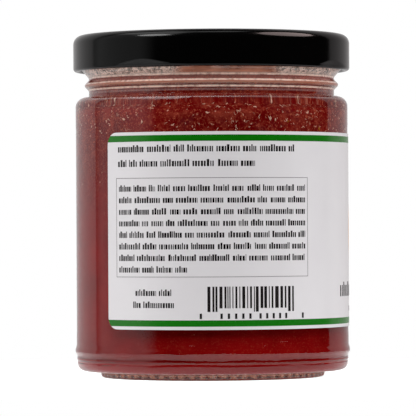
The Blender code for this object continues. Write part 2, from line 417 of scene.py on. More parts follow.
# %% [markdown]
# The material puts these together. Where the glass scatters it is less clear, and takes the colour of
# the scatter. Its relief adds four things: a broad wave all over, the wrinkles of the neck, ripples just
# under the shoulder, and level rolls near the heel.

# %% The finished glass
RIPPLE_SIZE = 1.4 * MM
ROLL_SIZE = 1.1 * MM
# The lowest and highest level of each, and how softly it ends
RIPPLES = (70.5 * MM, 72.3 * MM, 0.4 * MM)
ROLLS = (2.5 * MM, 11.0 * MM, 0.8 * MM)
ABOVE_FOOT = (3.0 * MM, 4.0 * MM)


def glass_relief(tree, place, height, wrinkles):
    """Ripples run upright and rolls run level, because each is stretched that way."""
    ripples = noise(tree, stretched(tree, place, 1.0, 1.0, 0.2), RIPPLE_SIZE, detail=2.0)
    ripples = maths(tree, "MULTIPLY", ripples, between(tree, height, *RIPPLES))
    rolls = noise(tree, stretched(tree, place, 0.12, 0.12, 1.0), ROLL_SIZE, detail=2.0)
    rolls = maths(tree, "MULTIPLY", rolls, between(tree, height, *ROLLS))
    relief = noise(tree, place, GLASS_WAVE, detail=1.0)
    for layer, strength in ((wrinkles, 1.2), (ripples, 0.5), (rolls, 3.0)):
        relief = maths(tree, "MULTIPLY_ADD", layer, strength, relief)
    return relief


def make_glass_material():
    made, tree, place = new_material("moulded_clear_glass")
    parts = add(tree, "ShaderNodeSeparateXYZ", None, {0: place})
    height = parts.outputs["Z"]
    squares = [maths(tree, "MULTIPLY", parts.outputs[axis], parts.outputs[axis]) for axis in range(2)]
    out = maths(tree, "SQRT", maths(tree, "ADD", *squares))
    chill, wrinkles, hazy = chill_haze_and_painted_glints(tree, place, height)
    neck, neck_colour = neck_scuffs_and_painted_light(tree, place, height, out)
    foot, foot_colour = foot_scuffs_and_painted_light(tree, place, height, out)
    scatter = maths(tree, "MAXIMUM", chill, maths(tree, "MAXIMUM", neck, foot))
    # The scuffs' pale colour is also a painted highlight; the pink and red of the neck ring and of the
    # foot's lower edge are a painted glow.
    scuff_and_glow_colour = mix_colour(tree, remap(tree, height, *ABOVE_FOOT), foot_colour, neck_colour)
    # The hazy neck is painted a warm pink: a painted glow for the jam's light that shows through it.
    scattered = mix_colour(tree, hazy, scuff_and_glow_colour, linear("#ffac8c"))
    surface = principled(tree, {
        "Base Color": mix_colour(tree, remap(tree, scatter, 0.05, 0.3), linear("#fdf4ef"), scattered),
        "Roughness": 0.0,
        "IOR": 1.52,
        "Transmission Weight": maths(tree, "SUBTRACT", 1.0, scatter),
        "Normal": bumped(tree, glass_relief(tree, place, height, wrinkles), 0.12, 0.25 * MM),
    })
    clear = add(tree, "ShaderNodeBsdfTransparent", None, {"Color": linear("#f4f6f4")})
    path = add(tree, "ShaderNodeLightPath")
    passing = maths(tree, "MAXIMUM", path.outputs["Is Shadow Ray"], path.outputs["Is Diffuse Ray"])
    show(tree, mix_shaders(tree, passing, surface, clear))
    return made


clear_glass = make_glass_material()

# %% [markdown]
# The outside of the jar, from the bottom up: a foot that is smaller than the body, a rounded heel, a
# bead that keeps the label from rubbing on its neighbours, a barely sunk panel for the label, a tight
# shoulder, and the neck with its ring and its thread.

# %% Sizes of the glass
COLUMNS = 408
FOOT_RADIUS = 29.25 * MM
FOOT_HEIGHT = 1.75 * MM
FOOT_ROUND = 0.4 * MM
RING_INNER = 25.9 * MM
PUNT_RADIUS = 24.0 * MM
PUNT_HEIGHT = 1.5 * MM
HEEL_RADIUS = 35.84 * MM
HEEL_ROUND = 2.0 * MM
HEEL_LINE = 4.85 * MM
HEEL_LINE_HALF = 0.32 * MM
HEEL_LINE_PROUD = 0.05 * MM
CREASE_LOW = 3.95 * MM
CREASE_HEIGHT = 4.3 * MM
CREASE_DEEP = 0.035 * MM
BEAD_LOW = 5.65 * MM
BEAD_HEIGHT = 6.9 * MM
BEAD_TOP = 7.2 * MM
BEAD_HIGH = 8.8 * MM
BEAD_RADIUS = 36.32 * MM
PANEL_SUNK = 0.05 * MM
PANEL_MARGIN = 1.2 * MM
SHOULDER_TOP = 73.9 * MM
SHOULDER_ROUND = 2.65 * MM
NECK_RADIUS = 32.45 * MM
NECK_FILLET = 0.35 * MM
NECK_RING_HEIGHT = 77.05 * MM
NECK_RING_HALF = 1.65 * MM
NECK_RING_PROUD = 1.12 * MM
RIM_ROUND = 0.9 * MM
INNER_RADIUS = 33.0 * MM
INNER_BOTTOM = 3.6 * MM
INNER_BOTTOM_ROUND = 3.5 * MM
INNER_NECK_RADIUS = 29.3 * MM
INNER_NECK_START = 73.0 * MM
INNER_SHOULDER_ROUND = 2.5 * MM


# %% Outline of the glass
def glass_outside():
    ring_in = RING_INNER + FOOT_ROUND
    ring_out = FOOT_RADIUS - FOOT_ROUND
    heel = (HEEL_RADIUS - HEEL_ROUND, FOOT_HEIGHT + HEEL_ROUND)
    panel = BODY_RADIUS - PANEL_SUNK
    panel_low = LABEL_LOW - PANEL_MARGIN
    panel_high = LABEL_TOP + PANEL_MARGIN
    shoulder = (BODY_RADIUS - SHOULDER_ROUND, SHOULDER_TOP - SHOULDER_ROUND)
    corner = (NECK_RADIUS + NECK_FILLET, SHOULDER_TOP + NECK_FILLET)
    rim = (NECK_RADIUS - RIM_ROUND, GLASS_TOP - RIM_ROUND)
    points = [(0, PUNT_HEIGHT)]
    points += straight((0, PUNT_HEIGHT), (PUNT_RADIUS, PUNT_HEIGHT), 5)
    points += [(PUNT_RADIUS, PUNT_HEIGHT)]
    points += arc((ring_in, FOOT_ROUND), FOOT_ROUND, 180, 270, 5)
    points += arc((ring_out, FOOT_ROUND), FOOT_ROUND, -90, 0, 5)
    points += straight((FOOT_RADIUS, FOOT_ROUND), (FOOT_RADIUS, FOOT_HEIGHT), 5)
    points += [(FOOT_RADIUS, FOOT_HEIGHT)]
    points += arc(heel, HEEL_ROUND, -90, 0, 12)
    points += [(HEEL_RADIUS, CREASE_LOW), (HEEL_RADIUS - CREASE_DEEP, CREASE_HEIGHT)]
    points += bump(HEEL_RADIUS, HEEL_LINE, HEEL_LINE_HALF, HEEL_LINE_PROUD, steps=6)
    points += ease((HEEL_RADIUS, BEAD_LOW), (BEAD_RADIUS, BEAD_HEIGHT))
    points += ease((BEAD_RADIUS, BEAD_TOP), (BODY_RADIUS, BEAD_HIGH))
    points += [(BODY_RADIUS, panel_low - PANEL_MARGIN), (panel, panel_low)]
    points += straight((panel, panel_low), (panel, panel_high), 5)
    points += [(panel, panel_high), (BODY_RADIUS, panel_high + PANEL_MARGIN)]
    points += arc(shoulder, SHOULDER_ROUND, 0, 90, 28)
    points += arc(corner, NECK_FILLET, 270, 180, 4)
    points += bump(NECK_RADIUS, NECK_RING_HEIGHT, NECK_RING_HALF, NECK_RING_PROUD)
    thread_low = (NECK_RADIUS, NECK_RING_HEIGHT + NECK_RING_HALF)
    thread_high = (NECK_RADIUS, GLASS_TOP - RIM_ROUND)
    points += straight(thread_low, thread_high, 30)
    points += arc(rim, RIM_ROUND, 0, 90, 6)
    return points


def glass_inside(grow=0.0):
    """The inside from the middle of its bottom up to the neck. A positive grow moves it into the wall."""
    wall = INNER_RADIUS + grow
    bottom = INNER_BOTTOM - grow
    neck = INNER_NECK_RADIUS + grow
    side = INNER_BOTTOM_ROUND + grow
    bend = math.degrees(math.acos(1 - (INNER_RADIUS - INNER_NECK_RADIUS) / (2 * INNER_SHOULDER_ROUND)))
    rise = INNER_SHOULDER_ROUND * math.sin(math.radians(bend))
    lower = (wall - INNER_SHOULDER_ROUND, INNER_NECK_START + grow - 2 * rise)
    upper = (neck + INNER_SHOULDER_ROUND, INNER_NECK_START + grow)
    points = [(0, bottom)]
    points += straight((0, bottom), (wall - side, bottom), 6)
    points += arc((wall - side, bottom + side), side, -90, 0, 8)
    points += straight((wall, bottom + side), (wall, lower[1]), 12)
    points += arc(lower, INNER_SHOULDER_ROUND, 0, bend, 6)
    points += arc(upper, INNER_SHOULDER_ROUND, 180 + bend, 180, 6)[1:]
    return points


# %% [markdown]
# A twist-off jar has no long screw thread. It has four short ridges that rise round the neck, and each
# one catches a lug of the lid. They are pushed out of the turned neck, and so are the two faint seams
# where the halves of the mould met.

# %% Thread and seams on the glass
THREAD_STARTS = 4
THREAD_FIRST = math.radians(-18)
THREAD_LOW = 80.7 * MM
THREAD_RISE = 4.2 * MM
THREAD_LENGTH = math.radians(84)
THREAD_HALF = 1.15 * MM
THREAD_PROUD = 0.7 * MM
THREAD_TAPER = 6
COLLAR_START = 78.7 * MM
COLLAR_FULL = 80.9 * MM
COLLAR_END = 84.5 * MM
COLLAR_PROUD = 1.4 * MM
SEAM_ANGLE = math.radians(-8.8)
SEAM_PROUD = 0.06 * MM
SEAM_HALF = 0.6 * FULL_TURN / COLUMNS


def thread_height(turn_angle, height):
    """How far the neck stands out at an angle and a height: the nearest ridge, on a broad collar."""
    rim_start = GLASS_TOP - RIM_ROUND
    rising = min(1.0, max(0.0, (height - COLLAR_START) / (COLLAR_FULL - COLLAR_START)))
    falling = min(1.0, max(0.0, (rim_start - height) / (rim_start - COLLAR_END)))
    swell = COLLAR_PROUD * half_wave(rising) * falling
    best = 0.0
    for start in range(THREAD_STARTS):
        along = (turn_angle - THREAD_FIRST - start * FULL_TURN / THREAD_STARTS) % FULL_TURN / THREAD_LENGTH
        if along >= 1:
            continue
        away = abs(height - THREAD_LOW - THREAD_RISE * along) / THREAD_HALF
        taper = min(1.0, THREAD_TAPER * along, THREAD_TAPER * (1 - along))
        if away < 1:
            best = max(best, THREAD_PROUD * taper * (1 + math.cos(math.pi * away)) / 2)
    return swell + best


def shape_neck_and_seams(piece):
    """Pushes out the thread, its collar and the two seams, on the outside alone."""
    neck_low = NECK_RING_HEIGHT + NECK_RING_HALF
    for vertex in piece.data.vertices:
        point = vertex.co
        radius = math.hypot(point.x, point.y)
        if radius < NECK_RADIUS - 0.01 * MM:
            continue
        angle = math.atan2(point.x, -point.y)
        push = thread_height(angle, point.z) if point.z > neck_low else 0.0
        from_seam = abs((angle - SEAM_ANGLE + math.pi / 2) % math.pi - math.pi / 2)
        if from_seam < SEAM_HALF:
            push += SEAM_PROUD
        point.x *= 1 + push / radius
        point.y *= 1 + push / radius


# %% [markdown]
# The foot is knurled: a row of small lens-shaped bumps that keep the jar from sticking to a wet belt.
# They repeat all the way round, so Geometry Nodes make them. The tree pushes the foot's points out by a
# wave that follows the angle, and its inputs are the count, the depth and the heights of the row.

# %% Geometry Nodes: knurled foot
KNURL_DEPTH = 0.4 * MM
KNURL_LOW = 0.15 * MM
KNURL_HIGH = 1.5 * MM
FOOT_FACE = FOOT_RADIUS - FOOT_ROUND


def node_group_with(name, sizes):
    """An empty Geometry Nodes group with a geometry socket each way, and a named input for each size."""
    group = bpy.data.node_groups.new(name, "GeometryNodeTree")
    group.interface.new_socket("Geometry", in_out="INPUT", socket_type="NodeSocketGeometry")
    for label, (kind, value) in sizes.items():
        socket = group.interface.new_socket(label, in_out="INPUT", socket_type="NodeSocket" + kind)
        socket.default_value = value
    group.interface.new_socket("Geometry", in_out="OUTPUT", socket_type="NodeSocketGeometry")
    return group


def end_tree(tree, geometry, material):
    """Realizes instances, sets the material and joins the tree's output."""
    real = add(tree, "GeometryNodeRealizeInstances", None, {0: geometry})
    painted = add(tree, "GeometryNodeSetMaterial", None, {"Geometry": real.outputs[0], "Material": material})
    add(tree, "NodeGroupOutput", None, {0: painted.outputs[0]})


def knurl_tree(material):
    """A tree that pushes the face of the foot out into lenses, and sets the material."""
    tree = node_group_with("knurl_the_foot", {
        "Count": ("Int", KNURL_COUNT),
        "Depth": ("Float", KNURL_DEPTH),
        "Low": ("Float", KNURL_LOW),
        "High": ("Float", KNURL_HIGH),
    })
    given = add(tree, "NodeGroupInput")
    low = given.outputs["Low"]
    high = given.outputs["High"]
    where = add(tree, "GeometryNodeInputPosition")
    parts = add(tree, "ShaderNodeSeparateXYZ", None, {0: where.outputs[0]})
    angle = maths(tree, "ARCTAN2", parts.outputs["Y"], parts.outputs["X"])
    wave = maths(tree, "COSINE", maths(tree, "MULTIPLY", angle, given.outputs["Count"]))
    lens = maths(tree, "SQRT", maths(tree, "MAXIMUM", maths(tree, "MULTIPLY_ADD", wave, 0.5, 0.5), 0.0))
    middle = maths(tree, "MULTIPLY", maths(tree, "ADD", low, high), 0.5)
    half = maths(tree, "MULTIPLY", maths(tree, "SUBTRACT", high, low), 0.5)
    off = maths(tree, "DIVIDE", maths(tree, "SUBTRACT", parts.outputs["Z"], middle), half)
    window = maths(tree, "MAXIMUM", maths(tree, "SUBTRACT", 1.0, maths(tree, "MULTIPLY", off, off)), 0.0)
    push = maths(tree, "MULTIPLY", maths(tree, "MULTIPLY", lens, window), given.outputs["Depth"])
    flat = add(tree, "ShaderNodeCombineXYZ", None, {0: parts.outputs["X"], 1: parts.outputs["Y"]})
    outwards = add(tree, "ShaderNodeVectorMath", {"operation": "NORMALIZE"}, {0: flat.outputs[0]})
    offset = add(tree, "ShaderNodeVectorMath", {"operation": "SCALE"}, {
        0: outwards.outputs[0], "Scale": push,
    })
    distance = add(tree, "ShaderNodeVectorMath", {"operation": "LENGTH"}, {0: flat.outputs[0]})
    on_face = maths(tree, "GREATER_THAN", distance.outputs["Value"], FOOT_FACE)
    below = maths(tree, "LESS_THAN", parts.outputs["Z"], FOOT_HEIGHT)
    chosen = maths(tree, "MULTIPLY", on_face, below)
    moved = add(tree, "GeometryNodeSetPosition", None, {
        "Geometry": given.outputs["Geometry"],
        "Selection": chosen,
        "Offset": offset.outputs[0],
    })
    end_tree(tree, moved.outputs[0], material)
    return tree


def run_nodes(piece, tree, values=None):
    """Runs a tree on a piece, with values for its named inputs, and keeps the result as a plain mesh."""
    modifier = piece.modifiers.new(tree.name, "NODES")
    modifier.node_group = tree
    for item in tree.interface.items_tree:
        if item.in_out == "INPUT" and values and item.name in values:
            modifier[item.identifier] = values[item.name]
    bpy.context.view_layer.update()
    seen = piece.evaluated_get(bpy.context.evaluated_depsgraph_get())
    mesh = bpy.data.meshes.new_from_object(seen)
    piece.modifiers.remove(modifier)
    old = piece.data
    piece.data = mesh
    bpy.data.meshes.remove(old)
    mesh.name = piece.name
    return piece


# %% Make the glass jar
mouth = [(INNER_NECK_RADIUS + RIM_ROUND, GLASS_TOP), (INNER_NECK_RADIUS, GLASS_TOP - RIM_ROUND)]
inside = glass_inside()
neck_wall = straight(mouth[-1], inside[-1], 8)
jar_glass = turn("jar_glass", glass_outside() + mouth + neck_wall + inside[::-1], COLUMNS)
shape_neck_and_seams(jar_glass)
run_nodes(jar_glass, knurl_tree(clear_glass))
jar_glass.data.shade_smooth()
finish_piece(jar_glass, "glass", "glass_jar")

# %% [markdown]
# ## Jam
# Berry jam is set fruit and sugar: a deep clear red jelly full of pulp. Where it touches the glass it
# is wet against it, so that boundary doesn't shine, and its colour shows through the glass.
# The jam reaches a little into the wall, which leaves no gap of air. Its free top does shine.

# %% Material: set jam
JAM_INTO_WALL = 0.15 * MM
JAM_LIGHTENS = (40 * MM, 68 * MM)
# Below these heights the jam is painted bright red: a painted glow of light from below.
JAM_PAINTED_GLOW = (3.9 * MM, 5.0 * MM)
# The lowest and highest level of the wisps, and how softly they end
WISPS = (70.0 * MM, 71.7 * MM, 0.6 * MM)


def make_jam_material(name, gloss):
    """Jelly that is darker low down, with pulp, bright grain and pale wisps laid over it in turn, and a
    painted glow of light from below along its bottom edge.
    """
    made, tree, place = new_material(name)
    height = add(tree, "ShaderNodeSeparateXYZ", None, {0: place}).outputs["Z"]
    upper = remap(tree, height, *JAM_LIGHTENS, 0.08, 1.0)
    broad = noise(tree, place, 13 * MM, detail=3.0)
    cloud = noise(tree, place, 7 * MM, detail=4.0, roughness=0.6, distortion=0.5)
    pulp = noise(tree, place, 3.2 * MM, detail=7.0, roughness=0.72, distortion=0.25)
    grain = noise(tree, place, 0.55 * MM, detail=3.0, roughness=0.75)
    wisp = noise(tree, stretched(tree, place, 1.0, 1.0, 0.2), 0.8 * MM, detail=4.0, roughness=0.7)
    wisp = maths(tree, "MULTIPLY", remap(tree, wisp, 0.54, 0.68, 0.0, 0.45), between(tree, height, *WISPS))
    dark = mix_colour(tree, upper, linear("#780508"), linear("#640406"))
    light = mix_colour(tree, upper, linear("#8f0a0d"), linear("#780809"))
    colour = mix_colour(tree, remap(tree, broad, 0.35, 0.65), dark, light)
    layers = (
        (remap(tree, cloud, 0.52, 0.64, 0.0, 0.8), upper, "#641a1c"),
        (remap(tree, pulp, 0.48, 0.68), upper, "#93382b"),
        (remap(tree, grain, 0.53, 0.68), maths(tree, "MULTIPLY_ADD", upper, 0.7, 0.1), "#ba5c44"),
        # Painted glow: the jam's bottom edge is bright red for light that comes up through the clear base.
        (remap(tree, height, *JAM_PAINTED_GLOW, 1.0, 0.0), 1.0, "#d8181c"),
        (wisp, remap(tree, broad, 0.46, 0.54), "#c08a78"),
    )
    for share, strength, code in layers:
        colour = mix_colour(tree, maths(tree, "MULTIPLY", share, strength), colour, linear(code))
    show(tree, principled(tree, {
        "Base Color": colour,
        "Roughness": 0.2,
        "IOR": 1.42,
        "Specular IOR Level": gloss,
    }))
    return made


jam_in_glass = make_jam_material("set_red_jam", 0.0)
jam_free_top = make_jam_material("set_red_jam_surface", 0.5)

# %% Make the jam
JAM_COLUMNS = 180
JAM_SWELL = 0.3 * MM
MENISCUS = 1.2 * MM
MENISCUS_RISE = 0.5 * MM


def make_jam():
    """Jam up against the glass, with a lip that climbs it and a gently uneven top."""
    side = glass_inside(JAM_INTO_WALL)
    edge = INNER_NECK_RADIUS + JAM_INTO_WALL
    brink = JAM_TOP + MENISCUS_RISE
    lip = arc((edge - MENISCUS, JAM_TOP + MENISCUS), MENISCUS, 0, -90, 6)
    profile = side + straight(side[-1], (edge, brink), 5) + [(edge, brink)]
    profile += [point for point in lip if point[1] < brink]
    profile += straight((edge - MENISCUS, JAM_TOP), (0, JAM_TOP), 20) + [(0, JAM_TOP)]
    piece = turn("jam_body", profile, JAM_COLUMNS, jam_in_glass, jam_free_top)
    for vertex in piece.data.vertices:
        point = vertex.co
        out = math.hypot(point.x, point.y) / edge
        if point.z < JAM_TOP - 0.01 * MM or out > 0.95:
            continue
        angle = math.atan2(point.x, -point.y)
        wave = math.sin(2 * angle + 0.7) * out + 0.6 * math.cos(3 * angle - 5 * out)
        point.z += JAM_SWELL * wave * (1 - out * out)
    for face in piece.data.polygons:
        face.material_index = int(face.center.z > JAM_TOP - 0.2 * MM and face.normal.z > 0.2)
    return piece


jam_body = make_jam()
finish_piece(jam_body, "jam", "jam")

# %% [markdown]
# Real jam is full of small things: froth that the boiling left, which sits near the top as pale bubbles
# in little clusters, and the golden seeds of the berries. Those that touch the glass are what we see.
# Each kind is one small shape and one Geometry Nodes tree. The tree strews points over a zone of the
# glass's inner wall, sets the shape on each point with a size and a spin drawn from a seed, and makes the
# result real. The pieces poke a little into the wall, as the jam does.

# %% Shapes and materials of what floats in the jam
def make_plain_material(name, first, second, size, roughness):
    """A material without gloss whose colour drifts between two over a real size."""
    made, tree, place = new_material(name)
    drift = remap(tree, noise(tree, place, size), 0.4, 0.6)
    show(tree, principled(tree, {
        "Base Color": mix_colour(tree, drift, linear(first), linear(second)),
        "Roughness": roughness,
        "IOR": 1.42,
        "Specular IOR Level": 0.0,
    }))
    return made


froth = make_plain_material("pale_jam_froth", "#e8c0ac", "#a04a34", 2.0 * MM, 0.5)
red_pulp = make_plain_material("red_fruit_pulp", "#c04e30", "#941f10", 1.2 * MM, 0.5)
seed_coat = make_plain_material("golden_berry_seed", "#b5722a", "#8f4a18", 1.5 * MM, 0.4)


def small_shape(name, pebbles, detail=1):
    """A small object to be strewn, made of rounded pebbles that lie flat. It goes when all trees have run.

    Each pebble has its length, width and thickness in mm, how far it is pushed out from the middle, and
    the angle that it is turned by.
    """
    shape = bmesh.new()
    for length, width, thick, shift, spin in pebbles:
        place = Matrix.Rotation(spin, 4, "Z") @ Matrix.Translation((shift * MM, 0, 0))
        stretch = Matrix.Diagonal((length * MM / 2, width * MM / 2, thick * MM / 2, 1))
        bmesh.ops.create_icosphere(shape, subdivisions=detail, radius=1, matrix=place @ stretch)
    made = new_piece(name, [], [])
    shape.to_mesh(made.data)
    shape.free()
    return made


def crumb_shape(name, count, spread, seed):
    """A loose cluster of long and short pebbles round a middle, drawn with a seed."""
    draw = random.Random(seed)
    pebbles = []
    for _ in range(count):
        length = draw.uniform(0.28, 0.85)
        width = draw.uniform(0.16, 0.34)
        pebbles.append((length, width, 0.3, draw.uniform(0, spread), FULL_TURN * draw.random()))
    return small_shape(name, pebbles)


fleck_shape = small_shape("fleck", [(0.5, 0.3, 0.3, 0, 0), (0.3, 0.2, 0.3, 0.3, 1)])
fibre_shape = small_shape("fibre", [(1.1, 0.14, 0.26, 0, 0), (0.6, 0.12, 0.26, 0.5, 0.6)])
seed_shape = small_shape("seed", [(1.35, 0.95, 0.6, 0, 0), (0.9, 0.5, 0.45, 0.42, 0)], detail=2)
small_crumb = crumb_shape("small_crumb", 5, 0.5, 7)
large_crumb = crumb_shape("large_crumb", 12, 1.15, 9)


# %% Geometry Nodes: strew a shape over a zone
def strew_tree(name, shape, material):
    """A tree that strews a shape over a mesh, each one flat on it with its own size and spin."""
    tree = node_group_with(name, {
        "Shape": ("Object", shape),
        "Per Square Metre": ("Float", 1e5),
        "Smallest": ("Float", 0.6),
        "Largest": ("Float", 1.3),
        "Seed": ("Int", 1),
    })
    given = add(tree, "NodeGroupInput")
    points = add(tree, "GeometryNodeDistributePointsOnFaces", {"distribute_method": "RANDOM"}, {
        "Mesh": given.outputs["Geometry"],
        "Density": given.outputs["Per Square Metre"],
        "Seed": given.outputs["Seed"],
    })
    size = add(tree, "FunctionNodeRandomValue", {"data_type": "FLOAT"}, {
        2: given.outputs["Smallest"], 3: given.outputs["Largest"], "Seed": given.outputs["Seed"],
    })
    spin = add(tree, "FunctionNodeRandomValue", {"data_type": "FLOAT"}, {
        2: 0.0, 3: FULL_TURN, "Seed": maths(tree, "ADD", given.outputs["Seed"], 1.0),
    })
    shown = add(tree, "GeometryNodeObjectInfo", None, {"Object": given.outputs["Shape"]})
    placed = add(tree, "GeometryNodeInstanceOnPoints", None, {
        "Points": points.outputs["Points"],
        "Instance": shown.outputs["Geometry"],
        "Rotation": points.outputs["Rotation"],
        "Scale": size.outputs[1],
    })
    about = add(tree, "ShaderNodeCombineXYZ", None, {2: spin.outputs[1]})
    turned = add(tree, "GeometryNodeRotateInstances", None, {
        "Instances": placed.outputs[0], "Rotation": about.outputs[0], "Local Space": True,
    })
    end_tree(tree, turned.outputs[0], material)
    return tree


# %% Strew froth and seeds
JAM_SIDE = [point for point in glass_inside(JAM_INTO_WALL) if point[1] > INNER_BOTTOM]
JAM_SIDE += [(INNER_NECK_RADIUS + JAM_INTO_WALL, JAM_TOP)]


def zone(name, low, high):
    """A band on the jam's side between two heights, as an open sheet for points to be strewn over."""
    heights = np.linspace(low, high, 15)
    radii = np.interp(heights, [height for _, height in JAM_SIDE], [radius for radius, _ in JAM_SIDE])
    return turn(name, list(zip(radii, heights)), 90)


SQUARE_CM = 1e-4
# Each row: name, shape, material, lowest and highest height in mm, pieces for each square centimetre,
# smallest and largest scale, seed
STREWN = [
    ("froth_flecks", fleck_shape, froth, 63, 71.4, 20, 0.35, 1.25, 3),
    ("froth_fibres", fibre_shape, froth, 64, 71.3, 11, 0.45, 1.25, 4),
    ("froth_crumbs", small_crumb, froth, 64, 71.2, 7, 0.45, 1.15, 5),
    ("froth_clusters", large_crumb, froth, 66, 71.0, 1.7, 0.55, 1.1, 8),
    ("fine_specks", fleck_shape, froth, 8, 63, 1.6, 0.3, 0.8, 11),
    ("seeds", seed_shape, seed_coat, 8, 69, 0.2, 0.5, 1.0, 13),
    ("neck_pulp", fleck_shape, red_pulp, 73.5, 78.6, 55, 0.4, 1.3, 17),
]
for name, shape, material, low, high, per_cm, smallest, largest, seed in STREWN:
    piece = run_nodes(zone(name, low * MM, high * MM), strew_tree("strew_" + name, shape, material), {
        "Per Square Metre": per_cm / SQUARE_CM, "Smallest": smallest, "Largest": largest, "Seed": seed,
    })
    piece.data.shade_smooth()
    finish_piece(piece, "jam")
for helper in (fleck_shape, fibre_shape, seed_shape, small_crumb, large_crumb):
    bpy.data.objects.remove(helper)

# %% [markdown]
# ## Lid
# The lid is drawn from thin tin-plated steel and covered with a hard black lacquer. It has a rounded
# corner, a sunk panel on top, and its lower edge is rolled into a curl. Four lugs are pressed in from
# outside, and each shows as a shallow arch.

# %% Materials: black lacquer and its liner
def make_lacquer():
    made, tree, place = new_material("black_lacquer_on_tinplate")
    peel = noise(tree, place, 0.9 * MM, detail=2.0)
    rub = noise(tree, place, 5 * MM, detail=4.0)
    show(tree, principled(tree, {
        "Base Color": linear("#020202"),
        "Roughness": remap(tree, rub, 0.3, 0.7, 0.1, 0.16),
        "IOR": 1.46,
        "Specular IOR Level": 0.2,
        "Normal": bumped(tree, peel, 0.06, 0.05 * MM),
    }))
    return made


def make_liner_material():
    made, tree, place = new_material("cream_liner_enamel")
    cloud = noise(tree, place, 6 * MM)
    colour = mix_colour(tree, cloud, linear("#b9ab9a"), linear("#cdc2b2"))
    show(tree, principled(tree, {"Base Color": colour, "Roughness": 0.35, "IOR": 1.5}))
    return made


lacquer = make_lacquer()
liner = make_liner_material()

# %% Sizes and outline of the lid
LID_COLUMNS = 300
LID_CORNER = 2.4 * MM
LID_PANEL_RADIUS = 28.6 * MM
LID_PANEL_STEP = 0.6 * MM
LID_PANEL_SLOPE = 0.9 * MM
LID_BUTTON_RADIUS = 9.5 * MM
LID_BUTTON_SLOPE = 1.2 * MM
LID_BUTTON_RISE = 0.3 * MM
LID_WALL = 0.35 * MM
LID_INSIDE_TOP = GLASS_TOP + 0.3 * MM
LID_INSIDE_CORNER = 1.5 * MM
LINER_LOW = 2.2 * MM
CURL_RADIUS = 0.85 * MM
LUG_COUNT = 4
LUG_FIRST = math.radians(-29.4)
LUG_HALF_ANGLE = math.radians(14.5)
LUG_DEPTH = 0.62 * MM
LUG_HEIGHT = 2.0 * MM
LUG_EDGE = 0.2 * MM


def lid_profile():
    panel = LID_TOP - LID_PANEL_STEP
    button = panel + LID_BUTTON_RISE
    panel_edge = LID_PANEL_RADIUS + LID_PANEL_SLOPE
    button_edge = LID_BUTTON_RADIUS + LID_BUTTON_SLOPE
    corner = (LID_RADIUS - LID_CORNER, LID_TOP - LID_CORNER)
    curl = (LID_RADIUS - CURL_RADIUS, LID_LOW + CURL_RADIUS)
    inner_wall = LID_RADIUS - LID_WALL
    inner_corner = (inner_wall - LID_INSIDE_CORNER, LID_INSIDE_TOP - LID_INSIDE_CORNER)
    arch_top = (LID_RADIUS, LID_LOW + LUG_HEIGHT)
    above_arch = (LID_RADIUS, LID_LOW + LUG_HEIGHT + LUG_EDGE)
    points = [(0, LID_INSIDE_TOP)]
    points += straight((0, LID_INSIDE_TOP), (inner_corner[0], LID_INSIDE_TOP), 6)
    points += arc(inner_corner, LID_INSIDE_CORNER, 90, 0, 6)
    points += straight(points[-1], (inner_wall, curl[1] + 1.9 * CURL_RADIUS), 3)
    points += arc(curl, CURL_RADIUS, -230, 0, 24)
    points += straight((LID_RADIUS, curl[1]), arch_top, 8)
    points += [arch_top, above_arch]
    points += straight(above_arch, (LID_RADIUS, corner[1]), 3)
    points += arc(corner, LID_CORNER, 0, 90, 14)
    points += soft_step(panel_edge, LID_PANEL_RADIUS, LID_TOP, panel)
    points += straight((LID_PANEL_RADIUS, panel), (button_edge, panel), 5)
    points += soft_step(button_edge, LID_BUTTON_RADIUS, panel, button)
    points += straight((LID_BUTTON_RADIUS, button), (0, button), 4)
    points += [(0, button)]
    return points


def press_lugs(piece):
    """Slopes the skirt in below an arch at each lug, deepest at the curl, whose inner side stays put."""
    curl_height = LID_LOW + CURL_RADIUS
    curl_inside = LID_RADIUS - 2 * CURL_RADIUS
    for vertex in piece.data.vertices:
        point = vertex.co
        radius = math.hypot(point.x, point.y)
        if radius <= curl_inside:
            continue
        from_first = (math.atan2(point.x, -point.y) - LUG_FIRST) % (FULL_TURN / LUG_COUNT)
        away = min(from_first, FULL_TURN / LUG_COUNT - from_first) / LUG_HALF_ANGLE
        above = max(0.0, point.z - curl_height) / (LUG_HEIGHT - CURL_RADIUS)
        arch = math.cos(math.pi * min(1.0, away) / 2) ** 2
        depth = LUG_DEPTH * max(0.0, arch - above) * (radius - curl_inside) / (2 * CURL_RADIUS)
        point.x *= (radius - depth) / radius
        point.y *= (radius - depth) / radius


# %% Make the lid
lid_shell = turn("lid_shell", lid_profile(), LID_COLUMNS, lacquer, liner)
press_lugs(lid_shell)
for face in lid_shell.data.polygons:
    middle = face.center
    looks_in = face.normal.x * middle.x + face.normal.y * middle.y < 0 or face.normal.z < -0.5
    lined = LID_LOW + LINER_LOW < middle.z <= LID_INSIDE_TOP + 0.01 * MM
    face.material_index = int(looks_in and lined)
finish_piece(lid_shell, "lid_lacquer", "lid")

# %% [markdown]
# ## Label
# The label is white paper with a clear varnish, glued round the jar. With its glue it stands 0.15 mm
# proud, and it reaches a little into the glass so that no gap shows. Its corners are cut round. Distances
# along it are measured from the middle of the side that we see.

# %% Label sizes
LABEL_INNER = BODY_RADIUS - 0.03 * MM
LABEL_OUTER = BODY_RADIUS + 0.15 * MM
LABEL_START = math.radians(-48)
LABEL_LENGTH = 184.0 * MM
LABEL_CORNER = 3.2 * MM
LABEL_COLUMNS = 180
CORNER_COLUMNS = 8
LABEL_CREASE = math.radians(40)


def wrap(along, height, radius):
    """The point at a distance along the label and a height, bent round the jar."""
    angle = along / LABEL_OUTER
    return (radius * math.sin(angle), -radius * math.cos(angle), height)


LABEL_LEFT = LABEL_START * LABEL_OUTER
LABEL_RIGHT = LABEL_LEFT + LABEL_LENGTH


